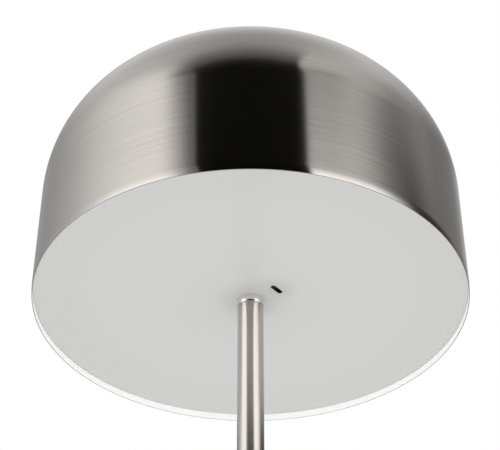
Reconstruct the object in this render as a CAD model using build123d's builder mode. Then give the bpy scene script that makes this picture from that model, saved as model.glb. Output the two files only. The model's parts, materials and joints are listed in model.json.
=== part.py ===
"""Dome-shade floor lamp: a weighted round base, a three-section tube pole and a spun metal dome
with an opal diffuser in its mouth, an LED light engine inside and a slide switch beside the pole.

Millimetres, +Z up, origin on the floor at the pole's axis. The slide switch is on the -Y, +X side,
the cord inlet at the rear, +Y.
"""

import os
from math import acos, cos, degrees, radians, sin, sqrt, tan

from build123d import *

# Fits
thread_clearance = 0.05     # radial, between a thread and what screws onto it
plug_clearance = 0.03       # radial, between a tube's bore and the plug pressed into it
loose_clearance = 0.3       # radial, between a rod or screw and a plain hole
slide_clearance = 0.3       # round the switch slider, on every side

# Shade
shade_radius = 212.8        # at its widest, just above the rim
shade_sheet = 0.8
shade_taper = 1.0           # degrees, the wall leans inwards going up
shade_wall_height = 119.0   # from the rim's edge to the start of the corner
shade_corner_radius = 137.0
shade_crown_radius = 355.0
lip_radius = 90.0           # the rim turns inwards a little on this radius
lip_turn = 5.0              # degrees

# Pole
pole_radius = 12.7
pole_wall = 1.2
pole_chamfer = 0.3
section_length = 430.0
section_names = ["pole_lower", "pole_middle", "pole_upper"]
joint_names = ["lower_joint", "upper_joint"]
plug_length = 22.0          # threaded plugs pressed into the tube ends
joint_thread_radius = 8.0
joint_bore_radius = 4.5
joint_end_gap = 2.0         # between the spigot's end and the bottom of its socket

# Base
base_radius = 150.0
base_height = 26.0
base_sheet = 1.2
base_edge_radius = 10.0
base_gap = 0.5              # between the cover's skirt and what sits inside it
foot_count = 5
foot_radius = 10.0
foot_height = 3.0
foot_recess = 1.0
foot_circle_radius = 122.0
foot_start = 90.0           # degrees, the first foot is at the rear
bottom_cover_thickness = 3.0
nut_pocket_radius = 24.0
nut_pocket_web = 5.0        # iron left above the nut pocket
base_collar_radius = 19.0
base_collar_height = 7.0
base_collar_edge = 2.0
bush_radius = 3.8
bush_flange_radius = 6.0
bush_flange = 2.0
bush_bore_radius = 2.5
bush_length = 9.0

# Threaded rod, nuts, washers and screws
rod_radius = 5.0
rod_bore_radius = 3.5
rod_engagement = 18.0       # how far the rod screws into a plug
nut_half_flats = 8.0        # half the width across flats
nut_height = 5.0
washer_radius = 14.0
washer_thickness = 1.5
screw_radius = 1.5
screw_head_radius = 2.8
screw_head = 1.8
bottom_screw_length = 12.0

# Diffuser and its collar
diffuser_recess = 7.5       # from the rim's edge up to the diffuser's face
diffuser_thickness = 2.5
diffuser_gap = 0.15         # to the turned-in edge of the rim
diffuser_upstand = 14.0
diffuser_upstand_wall = 2.0
diffuser_edge_radius = 0.5
collar_radius = 13.1
collar_height = 7.6
collar_taper_height = 1.2   # its lower edge narrows to the pole
diffuser_washer_radius = 20.0
diffuser_washer_thickness = 2.0

# Slide switch, on a circle round the pole, its slot along the tangent
switch_circle_radius = 31.8
switch_azimuth = -37.8      # degrees from +X
slot_length = 15.6
slot_width = 5.3
nose_clearance = 0.1        # between the slot and the housing's nose in it
nose_wall = 0.5
nose_recess = 0.2           # from the diffuser's face up to the nose
knob_length = 5.2
knob_recess = 1.0           # from the diffuser's face up to the knob
knob_rib_width = 0.5
knob_rib_depth = 0.4
knob_rib_pitch = 1.1
skirt_length = 22.0         # covers the slot at both ends of its travel
skirt_width = 6.0
skirt_height = 2.0
contact_space = 1.8         # above the slider, for its contacts
switch_wall = 1.4
switch_floor = 1.0          # under the slider
cover_thickness = 1.2
ear_length = 6.0
ear_thickness = 1.6
boss_radius = 2.6
switch_screw_radius = 1.0
switch_screw_head_radius = 2.0
switch_screw_head = 1.4
switch_screw_bite = 3.0     # below the ear
terminal_pitch = 5.0
terminal_width = 1.5
terminal_thickness = 0.6
terminal_height = 4.0

# Light engine
plate_clearance = 55.0      # from the diffuser's back to the plate
plate_radius = 150.0
plate_thickness = 1.5
plate_flange = 12.0
board_radius = 125.0
board_bore_radius = 35.0
board_thickness = 1.6
inner_chip_circle_radius = 60.0
inner_chip_count = 18
outer_chip_circle_radius = 102.0
outer_chip_count = 30
chip_length = 3.5
chip_width = 2.8
chip_height = 0.8
board_screw_count = 6
board_screw_circle_radius = 81.0
block_length = 12.0         # terminal block on the LED board
block_width = 10.0
block_height = 7.0
block_margin = 4.0          # from the board's bore to the block

# Driver
driver_length = 110.0
driver_width = 46.0
driver_height = 34.0
driver_wall = 2.0
driver_offset = 70.0        # from the pole's axis to the driver's middle, along +Y
driver_flange = 12.0
lid_thickness = 2.5
lid_lip = 4.0
driver_board_margin = 4.0   # from the case's inside to the circuit board
driver_board_thickness = 1.6
post_radius = 3.0
post_height = 4.0
lead_reach = 5.0            # how far a lead reaches into the case

# Leads inside the lamp
lead_radius = 2.2
lead_base_bend = 5.0
lead_head_bend = 12.0
supply_entry = 27.0         # supply lead's entry above the driver's foot
window_height = 20.0        # side window in the rod where the supply lead comes out
window_width = 5.6
wire_radius = 1.5
wire_entry = 12.0           # the thin leads' entry above the driver's foot
wire_bend = 8.0
wire_hole_radius = 3.0
led_lead_circle_radius = 24.0  # where the LED lead goes down through the plate
led_lead_drop = 4.0         # middle of the LED lead below the board

# Shade seat and finial
seat_radius = 32.0
seat_thickness = 1.5
seat_gap = 0.1
finial_washer_radius = 13.0
finial_washer_thickness = 1.2
finial_radius = 10.0
finial_height = 13.0
finial_thread_depth = 8.0
finial_end_gap = 1.0
finial_edge = 3.0

# Sizes and levels worked out from the above
pole_bore_radius = pole_radius - pole_wall
plug_radius = pole_bore_radius - plug_clearance
tapped_radius = rod_radius + thread_clearance
clear_radius = rod_radius + loose_clearance

cover_inner_radius = base_radius - base_sheet
inside_radius = cover_inner_radius - base_gap
weight_bottom = foot_height + bottom_cover_thickness
weight_top = base_height - base_sheet
pocket_top = weight_top - nut_pocket_web
base_nut_top = pocket_top - washer_thickness
stud_bottom = base_nut_top - nut_height
channel_half = bush_radius + base_gap
screw_start = foot_start + 180 / foot_count
lead_level = weight_bottom + bush_radius + loose_clearance
edge_centre = (base_radius - base_edge_radius, base_height - base_edge_radius)

pole_bottom = base_height
pole_top = pole_bottom + section_length * len(section_names)
diffuser_bottom = pole_top + collar_height
diffuser_top = diffuser_bottom + diffuser_thickness
rim_level = diffuser_bottom - diffuser_recess

taper = radians(shade_taper)
lip_drop = lip_radius * sin(radians(lip_turn))
lip_height = lip_drop + lip_radius * sin(taper)
lip_centre = (shade_radius - lip_radius * cos(taper), rim_level + lip_drop)
rim_opening_radius = lip_centre[0] + (lip_radius - shade_sheet) * cos(radians(lip_turn))
diffuser_radius = rim_opening_radius - diffuser_gap
wall_top_radius = shade_radius - (shade_wall_height - lip_height) * tan(taper)
corner_centre = (
    wall_top_radius - shade_corner_radius * cos(taper),
    rim_level + shade_wall_height - shade_corner_radius * sin(taper),
)
centre_distance = shade_crown_radius - shade_corner_radius
crown_centre = corner_centre[1] - sqrt(centre_distance**2 - corner_centre[0] ** 2)
join_angle = degrees(acos(corner_centre[0] / centre_distance))

nose_length = slot_length - 2 * nose_clearance
nose_width = slot_width - 2 * nose_clearance
mouth_length = nose_length - 2 * nose_wall
mouth_width = nose_width - 2 * nose_wall
travel = mouth_length - knob_length - 2 * slide_clearance
knob_width = mouth_width - 2 * slide_clearance
skirt_foot = switch_floor + slide_clearance
cavity_length = skirt_length + travel + 2 * slide_clearance
cavity_width = skirt_width + 2 * slide_clearance
cavity_height = slide_clearance + skirt_height + contact_space
housing_length = cavity_length + 2 * switch_wall
housing_width = cavity_width + 2 * switch_wall
housing_height = switch_floor + cavity_height
boss_height = housing_height - ear_thickness
boss_offset = housing_length / 2 + ear_length / 2
switch_x = switch_circle_radius * cos(radians(switch_azimuth))
switch_y = switch_circle_radius * sin(radians(switch_azimuth))
switch_plane = Plane(
    origin=(switch_x, switch_y, diffuser_top),
    x_dir=(-sin(radians(switch_azimuth)), cos(radians(switch_azimuth)), 0),
    z_dir=(0, 0, 1),
)
terminal_foot = housing_height + cover_thickness
terminal_top = diffuser_top + terminal_foot + terminal_height

plate_bottom = diffuser_top + plate_clearance
plate_top = plate_bottom + plate_thickness
board_bottom = plate_bottom - board_thickness
block_inner = board_bore_radius + block_margin
driver_front = driver_offset - driver_width / 2
driver_floor = plate_top + driver_wall
driver_board_level = driver_floor + post_height
driver_board_length = driver_length - 2 * driver_wall - 2 * driver_board_margin
driver_board_width = driver_width - 2 * driver_wall - 2 * driver_board_margin
post_x = driver_board_length / 2 - 2 * post_radius
post_y = driver_board_width / 2 - 2 * post_radius
flange_screw_x = driver_length / 2 + driver_flange / 2
supply_level = plate_top + supply_entry
wire_level = plate_top + wire_entry

seat_outside = shade_crown_radius - shade_sheet - seat_gap
seat_inside = seat_outside - seat_thickness
nut_corner = nut_half_flats / cos(radians(30))


def sphere_level(radius, distance):
    """Level of a sphere about the crown's centre, at a distance from the lamp's axis."""
    return crown_centre + sqrt(radius**2 - distance**2)


shade_top = sphere_level(shade_crown_radius, clear_radius)
finial_bottom = shade_top + finial_washer_thickness
rod_bottom = pole_top - rod_engagement
rod_top = finial_bottom + finial_thread_depth - finial_end_gap

BELOW = (Align.CENTER, Align.CENTER, Align.MAX)
ABOVE = (Align.CENTER, Align.CENTER, Align.MIN)

os.makedirs("parts", exist_ok=True)


def write(piece, name):
    """Labels a finished piece and writes its STEP file."""
    piece.part.label = name
    export_step(piece.part, f"parts/{name}.step")


def turned(*points):
    """A solid of revolution about the lamp's axis, from (radius, level) points."""
    with BuildPart() as piece:
        with BuildSketch(Plane.XZ):
            with BuildLine():
                Polyline(*points, close=True)
            make_face()
        revolve(axis=Axis.Z)
    return piece


def ring(outer, inner, bottom, top):
    """A plain ring about the lamp's axis."""
    return turned((inner, bottom), (outer, bottom), (outer, top), (inner, top))


def hex_nut(bottom):
    """A hexagon nut on the threaded rod, with its upper corners bevelled."""
    bevel = nut_corner - nut_half_flats
    with BuildPart() as nut:
        with BuildSketch(Plane.XY.offset(bottom)):
            RegularPolygon(nut_corner, 6)
            Circle(tapped_radius, mode=Mode.SUBTRACT)
        extrude(amount=nut_height)
        with BuildSketch(Plane.XZ):
            with BuildLine():
                Polyline(
                    (nut_half_flats, bottom + nut_height),
                    (nut_half_flats + 2 * bevel, bottom + nut_height - bevel),
                    (nut_half_flats + 2 * bevel, bottom + nut_height),
                    close=True,
                )
            make_face()
        revolve(axis=Axis.Z, mode=Mode.SUBTRACT)
    return nut


def screw(radius, length, head_radius, head_height):
    """A pan-head screw pointing down, its head standing on the origin, with a cross recess."""
    with BuildPart() as piece:
        Cylinder(head_radius, head_height, align=ABOVE)
        chamfer(piece.edges().group_by(Axis.Z)[-1], head_height / 4)
        with Locations((0, 0, head_height)):
            Box(1.2 * head_radius, 0.25 * head_radius, head_height, mode=Mode.SUBTRACT)
            Box(0.25 * head_radius, 1.2 * head_radius, head_height, mode=Mode.SUBTRACT)
        Cylinder(radius, length, align=BELOW)
    return piece.part


def lead(points, bends, radius):
    """A round lead along straight runs joined by tangent arcs."""
    with BuildPart() as piece:
        with BuildLine() as route:
            FilletPolyline(*points, radius=bends)
        with BuildSketch(Plane(origin=route.line @ 0, z_dir=route.line % 0)):
            Circle(radius)
        sweep()
    return piece


# Base: pressed cover, iron weight, bottom cover, screws and feet
with BuildPart() as base_cover:
    with BuildSketch(Plane.XZ):
        with BuildLine():
            Polyline((edge_centre[0], weight_top), (clear_radius, weight_top), (clear_radius, base_height))
            Line((clear_radius, base_height), (edge_centre[0], base_height))
            CenterArc(edge_centre, base_edge_radius, 90, -90)
            Polyline(
                (base_radius, edge_centre[1]),
                (base_radius, foot_height),
                (cover_inner_radius, foot_height),
                (cover_inner_radius, edge_centre[1]),
            )
            CenterArc(edge_centre, base_edge_radius - base_sheet, 0, 90)
        make_face()
    revolve(axis=Axis.Z)
    with Locations(Location((0, base_radius, lead_level), (90, 0, 0))):
        Cylinder(bush_radius + plug_clearance, 6 * base_sheet, mode=Mode.SUBTRACT)
write(base_cover, "base_cover")

with BuildPart() as base_weight:
    with BuildSketch(Plane.XZ):
        with BuildLine():
            Polyline(
                (edge_centre[0] - base_gap, weight_top),
                (clear_radius, weight_top),
                (clear_radius, pocket_top),
                (nut_pocket_radius, pocket_top),
                (nut_pocket_radius, weight_bottom),
                (inside_radius, weight_bottom),
                (inside_radius, edge_centre[1]),
            )
            Line((inside_radius, edge_centre[1]), (edge_centre[0] - base_gap, weight_top))
        make_face()
    revolve(axis=Axis.Z)
    # lead channel from the nut pocket to the rear
    with BuildSketch(Plane.XY.offset(weight_bottom)):
        with Locations((0, base_radius / 2)):
            Rectangle(2 * channel_half, base_radius)
    extrude(amount=lead_level + channel_half - weight_bottom, mode=Mode.SUBTRACT)
    # tapped holes for the bottom screws, between the feet
    with Locations((0, 0, weight_bottom)):
        with PolarLocations(foot_circle_radius, foot_count, start_angle=screw_start):
            Cylinder(screw_radius + thread_clearance, bottom_screw_length, align=ABOVE, mode=Mode.SUBTRACT)
write(base_weight, "base_weight")

with BuildPart() as bottom_cover:
    with BuildSketch(Plane.XY.offset(foot_height)):
        Circle(inside_radius)
    extrude(amount=bottom_cover_thickness)
    with Locations((0, 0, foot_height)):
        with PolarLocations(foot_circle_radius, foot_count, start_angle=foot_start):
            Cylinder(foot_radius + plug_clearance, foot_recess, align=ABOVE, mode=Mode.SUBTRACT)
        with PolarLocations(foot_circle_radius, foot_count, start_angle=screw_start):
            Cylinder(
                screw_radius + loose_clearance, bottom_cover_thickness, align=ABOVE, mode=Mode.SUBTRACT
            )
write(bottom_cover, "bottom_cover")

with BuildPart() as bottom_screws:
    with Locations((0, 0, foot_height)):
        with PolarLocations(foot_circle_radius, foot_count, start_angle=screw_start):
            add(
                screw(screw_radius, bottom_screw_length, screw_head_radius, screw_head),
                rotation=(180, 0, 0),
            )
write(bottom_screws, "bottom_screws")

with BuildPart() as rubber_feet:
    with PolarLocations(foot_circle_radius, foot_count, start_angle=foot_start):
        Cylinder(foot_radius, foot_height + foot_recess, align=ABOVE)
    chamfer(rubber_feet.edges().group_by(Axis.Z)[0], foot_height / 5)
write(rubber_feet, "rubber_feet")

# Base: hollow stud, washer, nut, collar at the pole's foot and the cord inlet bush
with BuildPart() as base_stud:
    add(ring(rod_radius, rod_bore_radius, stud_bottom, pole_bottom + rod_engagement).part)
write(base_stud, "base_stud")

with BuildPart() as base_washer:
    add(ring(washer_radius, clear_radius, base_nut_top, pocket_top).part)
write(base_washer, "base_washer")

write(hex_nut(stud_bottom), "base_nut")

base_collar = turned(
    (pole_radius + plug_clearance, base_height),
    (base_collar_radius, base_height),
    (base_collar_radius, base_height + base_collar_height - base_collar_edge),
    (base_collar_radius - base_collar_edge, base_height + base_collar_height),
    (pole_radius + plug_clearance, base_height + base_collar_height),
)
write(base_collar, "base_collar")

with BuildPart() as cord_bush:
    with Locations(Location((0, base_radius, lead_level), (90, 0, 0))):
        Cylinder(bush_radius, bush_length, align=ABOVE)
        Cylinder(bush_flange_radius, bush_flange, align=BELOW)
    chamfer(cord_bush.edges().group_by(Axis.Y)[-1], bush_flange / 3)
    with Locations(Location((0, base_radius, lead_level), (90, 0, 0))):
        Cylinder(bush_bore_radius, 4 * bush_length, mode=Mode.SUBTRACT)
write(cord_bush, "cord_bush")

# Pole: tubes, plugs pressed into their ends and the screwed joints between them
for index, name in enumerate(section_names):
    start = pole_bottom + index * section_length
    end = start + section_length
    tube = turned(
        (pole_bore_radius, start),
        (pole_radius - pole_chamfer, start),
        (pole_radius, start + pole_chamfer),
        (pole_radius, end - pole_chamfer),
        (pole_radius - pole_chamfer, end),
        (pole_bore_radius, end),
    )
    write(tube, name)

write(ring(plug_radius, tapped_radius, pole_bottom, pole_bottom + plug_length), "pole_foot_insert")
write(ring(plug_radius, tapped_radius, pole_top - plug_length, pole_top), "pole_top_insert")

for index, name in enumerate(joint_names):
    level = pole_bottom + (index + 1) * section_length
    socket = ring(plug_radius, joint_thread_radius + thread_clearance, level - plug_length, level)
    write(socket, f"{name}_socket")
    spigot = turned(
        (joint_bore_radius, level - plug_length + joint_end_gap),
        (joint_thread_radius, level - plug_length + joint_end_gap),
        (joint_thread_radius, level),
        (plug_radius, level),
        (plug_radius, level + plug_length),
        (joint_bore_radius, level + plug_length),
    )
    write(spigot, f"{name}_spigot")

# Supply lead: from the inlet bush, up through the pole and the rod, out to the driver
supply_lead = lead(
    [
        (0, base_radius - bush_length, lead_level),
        (0, 0, lead_level),
        (0, 0, supply_level),
        (0, driver_front + lead_reach, supply_level),
    ],
    [lead_base_bend, lead_head_bend],
    lead_radius,
)
write(supply_lead, "supply_lead")

# Head: centre rod with the lead's side window
with BuildPart() as centre_rod:
    add(ring(rod_radius, rod_bore_radius, rod_bottom, rod_top).part)
    with Locations((0, 0, supply_level - lead_head_bend)):
        Box(
            window_width, 2 * rod_radius, window_height,
            align=(Align.CENTER, Align.MIN, Align.MIN), mode=Mode.SUBTRACT,
        )
write(centre_rod, "centre_rod")

# Head: collar, diffuser and what clamps it
diffuser_collar = turned(
    (clear_radius, pole_top),
    (pole_radius, pole_top),
    (collar_radius, pole_top + collar_taper_height),
    (collar_radius, diffuser_bottom),
    (clear_radius, diffuser_bottom),
)
write(diffuser_collar, "diffuser_collar")

with BuildPart() as diffuser:
    with BuildSketch(Plane.XZ):
        with BuildLine():
            Polyline(
                (diffuser_radius - diffuser_upstand_wall, diffuser_top),
                (clear_radius, diffuser_top),
                (clear_radius, diffuser_bottom),
                (diffuser_radius - diffuser_edge_radius, diffuser_bottom),
            )
            CenterArc(
                (diffuser_radius - diffuser_edge_radius, diffuser_bottom + diffuser_edge_radius),
                diffuser_edge_radius, -90, 90,
            )
            Polyline(
                (diffuser_radius, diffuser_bottom + diffuser_edge_radius),
                (diffuser_radius, diffuser_bottom + diffuser_upstand),
                (diffuser_radius - diffuser_upstand_wall, diffuser_bottom + diffuser_upstand),
                (diffuser_radius - diffuser_upstand_wall, diffuser_top),
            )
        make_face()
    revolve(axis=Axis.Z)
    with BuildSketch(switch_plane):
        with Locations((-boss_offset, 0), (boss_offset, 0)):
            Circle(boss_radius)
            Circle(switch_screw_radius + thread_clearance, mode=Mode.SUBTRACT)
    extrude(amount=boss_height)
    with BuildSketch(switch_plane):
        SlotOverall(slot_length, slot_width)
    extrude(amount=-diffuser_thickness, mode=Mode.SUBTRACT)
write(diffuser, "diffuser")

diffuser_washer_top = diffuser_top + diffuser_washer_thickness
diffuser_washer = ring(diffuser_washer_radius, clear_radius, diffuser_top, diffuser_washer_top)
write(diffuser_washer, "diffuser_washer")
write(hex_nut(diffuser_washer_top), "diffuser_nut")

# Head: slide switch
with BuildPart() as switch_housing:
    with BuildSketch(switch_plane):
        Rectangle(housing_length, housing_width)
    extrude(amount=housing_height)
    with BuildSketch(switch_plane.offset(boss_height)):
        Rectangle(housing_length + 2 * ear_length, housing_width)
        with Locations((-boss_offset, 0), (boss_offset, 0)):
            Circle(switch_screw_radius + loose_clearance, mode=Mode.SUBTRACT)
    extrude(amount=ear_thickness)
    with BuildSketch(switch_plane):
        SlotOverall(nose_length, nose_width)
    extrude(amount=nose_recess - diffuser_thickness)
    with BuildSketch(switch_plane.offset(switch_floor)):
        Rectangle(cavity_length, cavity_width)
    extrude(amount=cavity_height, mode=Mode.SUBTRACT)
    with BuildSketch(switch_plane.offset(switch_floor)):
        SlotOverall(mouth_length, mouth_width)
    extrude(amount=-switch_floor - diffuser_thickness, mode=Mode.SUBTRACT)
write(switch_housing, "switch_housing")

with BuildPart() as switch_cover:
    with BuildSketch(switch_plane.offset(housing_height)):
        Rectangle(housing_length, housing_width)
    extrude(amount=cover_thickness)
write(switch_cover, "switch_cover")

with BuildPart() as switch_slider:
    with BuildSketch(switch_plane.offset(skirt_foot)):
        with Locations((-travel / 2, 0)):
            Rectangle(skirt_length, skirt_width)
    extrude(amount=skirt_height)
    with BuildSketch(switch_plane.offset(skirt_foot)):
        with Locations((-travel / 2, 0)):
            SlotOverall(knob_length, knob_width)
    extrude(amount=knob_recess - diffuser_thickness - skirt_foot)
    with BuildSketch(switch_plane.offset(knob_recess - diffuser_thickness)):
        with Locations((-travel / 2, 0)):
            with GridLocations(knob_rib_pitch, 1, 3, 1):
                Rectangle(knob_rib_width, 2 * knob_width)
    extrude(amount=knob_rib_depth, mode=Mode.SUBTRACT)
write(switch_slider, "switch_slider")

with BuildPart() as switch_terminals:
    with BuildSketch(switch_plane.offset(terminal_foot)):
        with GridLocations(terminal_pitch, 1, 3, 1):
            Rectangle(terminal_width, terminal_thickness)
    extrude(amount=terminal_height)
write(switch_terminals, "switch_terminals")

with BuildPart() as switch_screws:
    with Locations(switch_plane.offset(housing_height)):
        with Locations((-boss_offset, 0), (boss_offset, 0)):
            add(
                screw(
                    switch_screw_radius, ear_thickness + switch_screw_bite,
                    switch_screw_head_radius, switch_screw_head,
                )
            )
write(switch_screws, "switch_screws")

switch_lead = lead(
    [
        (switch_x, switch_y, terminal_top),
        (switch_x, switch_y, wire_level),
        (switch_x, driver_front + lead_reach, wire_level),
    ],
    wire_bend,
    wire_radius,
)
write(switch_lead, "switch_lead")

# Head: plate on the rod, LED board and its parts
with BuildPart() as led_plate:
    add(
        turned(
            (clear_radius, plate_bottom),
            (plate_radius - plate_thickness, plate_bottom),
            (plate_radius - plate_thickness, plate_top - plate_flange),
            (plate_radius, plate_top - plate_flange),
            (plate_radius, plate_top),
            (clear_radius, plate_top),
        ).part
    )
    with Locations((0, 0, plate_bottom)):
        with Locations((switch_x, switch_y), (-led_lead_circle_radius, 0)):
            Cylinder(wire_hole_radius, plate_thickness, align=ABOVE, mode=Mode.SUBTRACT)
        with PolarLocations(board_screw_circle_radius, board_screw_count):
            Cylinder(screw_radius + thread_clearance, plate_thickness, align=ABOVE, mode=Mode.SUBTRACT)
        with Locations((-flange_screw_x, driver_offset), (flange_screw_x, driver_offset)):
            Cylinder(screw_radius + thread_clearance, plate_thickness, align=ABOVE, mode=Mode.SUBTRACT)
write(led_plate, "led_plate")

write(hex_nut(plate_bottom - nut_height), "plate_lower_nut")
write(ring(washer_radius, clear_radius, plate_top, plate_top + washer_thickness), "plate_washer")
write(hex_nut(plate_top + washer_thickness), "plate_upper_nut")

with BuildPart() as led_board:
    with BuildSketch(Plane.XY.offset(board_bottom)):
        Circle(board_radius)
        Circle(board_bore_radius, mode=Mode.SUBTRACT)
        with PolarLocations(board_screw_circle_radius, board_screw_count):
            Circle(screw_radius + loose_clearance, mode=Mode.SUBTRACT)
    extrude(amount=board_thickness)
write(led_board, "led_board")

with BuildPart() as led_chips:
    with Locations((0, 0, board_bottom)):
        with PolarLocations(inner_chip_circle_radius, inner_chip_count):
            Box(chip_width, chip_length, chip_height, align=BELOW)
        with PolarLocations(outer_chip_circle_radius, outer_chip_count):
            Box(chip_width, chip_length, chip_height, align=BELOW)
write(led_chips, "led_chips")

with BuildPart() as board_screws:
    with Locations((0, 0, board_bottom)):
        with PolarLocations(board_screw_circle_radius, board_screw_count):
            add(
                screw(screw_radius, board_thickness + plate_thickness, screw_head_radius, screw_head),
                rotation=(180, 0, 0),
            )
write(board_screws, "board_screws")

with BuildPart() as board_terminal:
    with Locations((-block_inner - block_length / 2, 0, board_bottom)):
        Box(block_length, block_width, block_height, align=BELOW)
write(board_terminal, "board_terminal")

led_lead = lead(
    [
        (-led_lead_circle_radius, driver_front + lead_reach, wire_level),
        (-led_lead_circle_radius, 0, wire_level),
        (-led_lead_circle_radius, 0, board_bottom - led_lead_drop),
        (-block_inner, 0, board_bottom - led_lead_drop),
    ],
    wire_bend,
    wire_radius,
)
write(led_lead, "led_lead")

# Head: driver on the plate
with BuildPart() as driver_case:
    with BuildSketch(Plane.XY.offset(plate_top)):
        with Locations((0, driver_offset)):
            Rectangle(driver_length + 2 * driver_flange, driver_width / 2)
            with Locations((-flange_screw_x, 0), (flange_screw_x, 0)):
                Circle(screw_radius + loose_clearance, mode=Mode.SUBTRACT)
    extrude(amount=driver_wall)
    with BuildSketch(Plane.XY.offset(plate_top)):
        with Locations((0, driver_offset)):
            Rectangle(driver_length, driver_width)
    extrude(amount=driver_height)
    with BuildSketch(Plane.XY.offset(driver_floor)):
        with Locations((0, driver_offset)):
            Rectangle(driver_length - 2 * driver_wall, driver_width - 2 * driver_wall)
    extrude(amount=driver_height, mode=Mode.SUBTRACT)
    with BuildSketch(Plane.XY.offset(driver_floor)):
        with Locations((0, driver_offset)):
            with GridLocations(2 * post_x, 2 * post_y, 2, 2):
                Circle(post_radius)
    extrude(amount=post_height)
    with Locations(Location((0, driver_front, supply_level), (90, 0, 0))):
        Cylinder(lead_radius + loose_clearance, 4 * driver_wall, mode=Mode.SUBTRACT)
    for x in (switch_x, -led_lead_circle_radius):
        with Locations(Location((x, driver_front, wire_level), (90, 0, 0))):
            Cylinder(wire_radius + loose_clearance, 4 * driver_wall, mode=Mode.SUBTRACT)
write(driver_case, "driver_case")

with BuildPart() as driver_board:
    with BuildSketch(Plane.XY.offset(driver_board_level)):
        with Locations((0, driver_offset)):
            Rectangle(driver_board_length, driver_board_width)
    extrude(amount=driver_board_thickness)
write(driver_board, "driver_board")

with BuildPart() as driver_components:
    with Locations((0, driver_offset, driver_board_level + driver_board_thickness)):
        with Locations((-driver_board_length / 4, 0)):
            Box(driver_board_width / 2, driver_board_width / 2, driver_height / 2, align=ABOVE)
        with Locations((driver_board_length / 8, 0), (driver_board_length / 3, 0)):
            Cylinder(driver_board_width / 5, driver_height / 2, align=ABOVE)
write(driver_components, "driver_components")

with BuildPart() as driver_lid:
    lid_inside_length = driver_length - 2 * driver_wall - 2 * loose_clearance
    lid_inside_width = driver_width - 2 * driver_wall - 2 * loose_clearance
    with BuildSketch(Plane.XY.offset(plate_top + driver_height)):
        with Locations((0, driver_offset)):
            Rectangle(driver_length, driver_width)
    extrude(amount=lid_thickness)
    with BuildSketch(Plane.XY.offset(plate_top + driver_height)):
        with Locations((0, driver_offset)):
            Rectangle(lid_inside_length, lid_inside_width)
            Rectangle(
                lid_inside_length - 2 * driver_wall, lid_inside_width - 2 * driver_wall,
                mode=Mode.SUBTRACT,
            )
    extrude(amount=-lid_lip)
write(driver_lid, "driver_lid")

with BuildPart() as driver_screws:
    with Locations((0, driver_offset, plate_top + driver_wall)):
        with Locations((-flange_screw_x, 0), (flange_screw_x, 0)):
            add(screw(screw_radius, driver_wall + plate_thickness, screw_head_radius, screw_head))
write(driver_screws, "driver_screws")

# Head: dome, its seat on the rod and the finial that holds it down
with BuildPart() as dome_shade:
    with BuildSketch(Plane.XZ):
        with BuildLine():
            rims = []
            tops = []
            for inset in (0, shade_sheet):
                lip = CenterArc(lip_centre, lip_radius - inset, -lip_turn, lip_turn + shade_taper)
                corner = CenterArc(
                    corner_centre, shade_corner_radius - inset, shade_taper, join_angle - shade_taper
                )
                crown = CenterArc(
                    (0, crown_centre), shade_crown_radius - inset, join_angle, 90 - join_angle
                )
                Line(lip @ 1, corner @ 0)
                rims.append(lip @ 0)
                tops.append(crown @ 1)
            Line(*rims)
            Line(*tops)
        make_face()
    revolve(axis=Axis.Z)
    with Locations((0, 0, shade_top)):
        Cylinder(clear_radius, 10 * shade_sheet, mode=Mode.SUBTRACT)
write(dome_shade, "dome_shade")

with BuildPart() as shade_seat:
    with BuildSketch(Plane.XZ):
        with BuildLine():
            reach = degrees(acos(seat_radius / seat_outside))
            outer_arc = CenterArc((0, crown_centre), seat_outside, reach, 90 - reach)
            inner_arc = CenterArc((0, crown_centre), seat_inside, 90, reach - 90)
            Line(outer_arc @ 1, inner_arc @ 0)
            Line(inner_arc @ 1, outer_arc @ 0)
        make_face()
    revolve(axis=Axis.Z)
    with Locations((0, 0, shade_top)):
        Cylinder(clear_radius, 20 * seat_thickness, mode=Mode.SUBTRACT)
write(shade_seat, "shade_seat")

write(hex_nut(sphere_level(seat_inside, nut_corner) - nut_height), "seat_nut")

write(ring(finial_washer_radius, clear_radius, shade_top, finial_bottom), "finial_washer")

with BuildPart() as finial:
    with Locations((0, 0, finial_bottom)):
        Cylinder(finial_radius, finial_height, align=ABOVE)
    fillet(finial.edges().group_by(Axis.Z)[-1], finial_edge)
    with Locations((0, 0, finial_bottom)):
        Cylinder(tapped_radius, finial_thread_depth, align=ABOVE, mode=Mode.SUBTRACT)
write(finial, "finial")
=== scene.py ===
"""Looks of a dome-shade floor lamp: turned metal shells, moulded pieces and a small white studio."""

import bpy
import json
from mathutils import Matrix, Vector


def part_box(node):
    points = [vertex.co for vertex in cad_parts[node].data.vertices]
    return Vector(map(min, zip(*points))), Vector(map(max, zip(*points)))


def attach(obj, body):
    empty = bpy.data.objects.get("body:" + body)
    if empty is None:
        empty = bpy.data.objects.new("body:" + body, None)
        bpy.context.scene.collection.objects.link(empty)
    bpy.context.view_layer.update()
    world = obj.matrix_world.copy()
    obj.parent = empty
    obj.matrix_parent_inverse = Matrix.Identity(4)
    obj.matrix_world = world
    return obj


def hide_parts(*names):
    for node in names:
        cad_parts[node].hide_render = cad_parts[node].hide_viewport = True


bl_info = {
    "name": "Dome-shade floor lamp",
    "version": (1, 0, 0),
    "blender": (4, 5, 0),
    "location": "View3D > Sidebar > Lamp",
    "description": "Dresses the lamp's frame with turned shells, finishes and a white studio",
    "category": "Add Mesh",
}

import json
import math

import bmesh
import bpy
from bpy.props import FloatProperty, FloatVectorProperty, IntProperty, PointerProperty
from mathutils import Vector

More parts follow.
